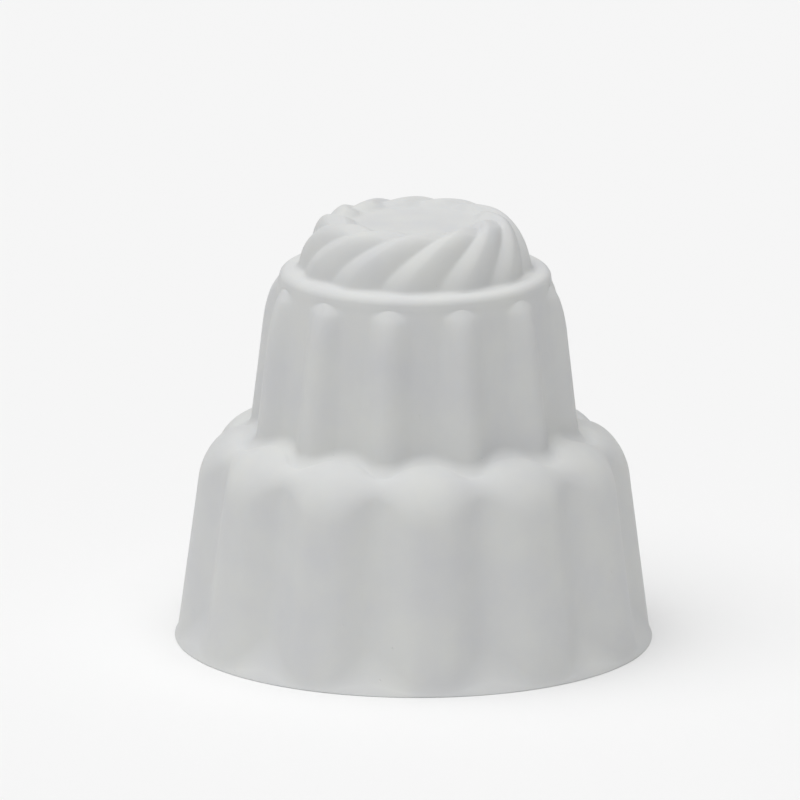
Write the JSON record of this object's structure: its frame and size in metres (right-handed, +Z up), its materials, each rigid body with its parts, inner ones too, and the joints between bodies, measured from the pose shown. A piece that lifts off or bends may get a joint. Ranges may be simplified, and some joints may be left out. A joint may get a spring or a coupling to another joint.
{
  "type": "moulded milk jelly",
  "caption": "Opaque white milk jelly turned out of a two-tier fluted dome mould, with a twisted cap and a flat foot.",
  "frame": {"origin": "middle of the round flat foot, on the surface that the jelly stands on", "axes": "+Z up through the middle of the cap; a rib of the upper tier points along -Y and another along +X"},
  "size_m": [0.112, 0.112, 0.1009],
  "materials": {
    "set_milk": "satin, opaque neutral white"
  },
  "bodies": {
    "root": {"milk_jelly": "set_milk"}
  },
  "joints": []
}
